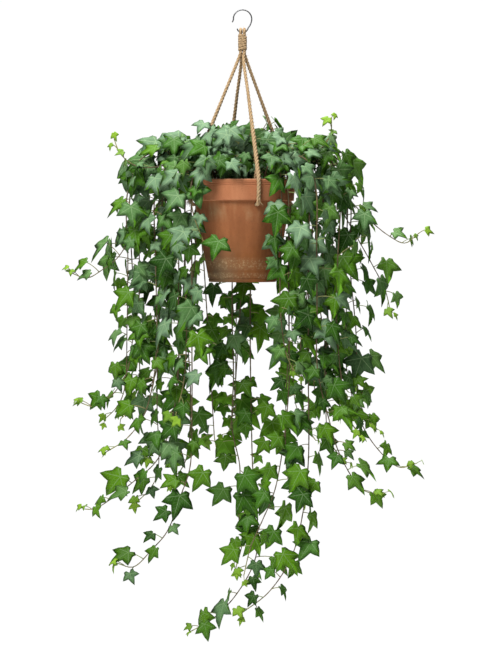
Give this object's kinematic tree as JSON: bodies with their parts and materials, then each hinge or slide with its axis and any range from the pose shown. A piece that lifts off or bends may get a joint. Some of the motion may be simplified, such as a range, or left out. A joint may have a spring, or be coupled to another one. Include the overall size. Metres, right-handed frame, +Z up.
{
  "type": "hanging potted ivy",
  "caption": "Trailing ivy with five-lobed leaves in a rimmed terracotta pot, hung by knotted jute cords from an open steel hook.",
  "frame": {"origin": "inner top of the hook's bow, where the ceiling fitting carries it", "axes": "+Z up along the cords, -Y the front that the picture shows, +X to the right"},
  "size_m": [0.564, 0.3369, 0.953],
  "materials": {
    "terracotta": "unglazed terracotta, matte, with mineral bloom",
    "soil": "moist potting soil with bark",
    "jute": "three-strand natural jute cord",
    "steel": "dark bare steel wire",
    "leaf": "living ivy leaves and stems, half matte"
  },
  "bodies": {
    "root": {"pot": "terracotta", "soil": "soil", "hook": "steel", "cord_front_right": "jute", "cord_back_left": "jute", "whipping": "jute", "runner_1": "leaf", "runner_2": "leaf", "runner_3": "leaf", "runner_4": "leaf", "runner_5": "leaf", "runner_6": "leaf", "runner_7": "leaf", "runner_8": "leaf", "runner_9": "leaf", "runner_10": "leaf", "runner_11": "leaf", "runner_12": "leaf", "runner_13": "leaf", "runner_14": "leaf", "runner_15": "leaf", "runner_16": "leaf", "runner_17": "leaf", "runner_18": "leaf", "runner_19": "leaf", "runner_20": "leaf", "runner_21": "leaf", "runner_22": "leaf", "runner_23": "leaf", "runner_24": "leaf", "runner_25": "leaf", "runner_26": "leaf", "trail_1": "leaf", "trail_2": "leaf", "trail_3": "leaf", "trail_4": "leaf", "trail_5": "leaf", "trail_6": "leaf", "trail_7": "leaf", "trail_8": "leaf", "trail_9": "leaf", "trail_10": "leaf", "trail_11": "leaf", "trail_12": "leaf", "trail_13": "leaf", "trail_14": "leaf", "trail_15": "leaf", "trail_16": "leaf", "trail_17": "leaf", "trail_18": "leaf", "trail_19": "leaf", "trail_20": "leaf", "crown_1": "leaf", "crown_2": "leaf", "crown_3": "leaf", "crown_4": "leaf", "crown_5": "leaf", "crown_6": "leaf"}
  },
  "joints": []
}
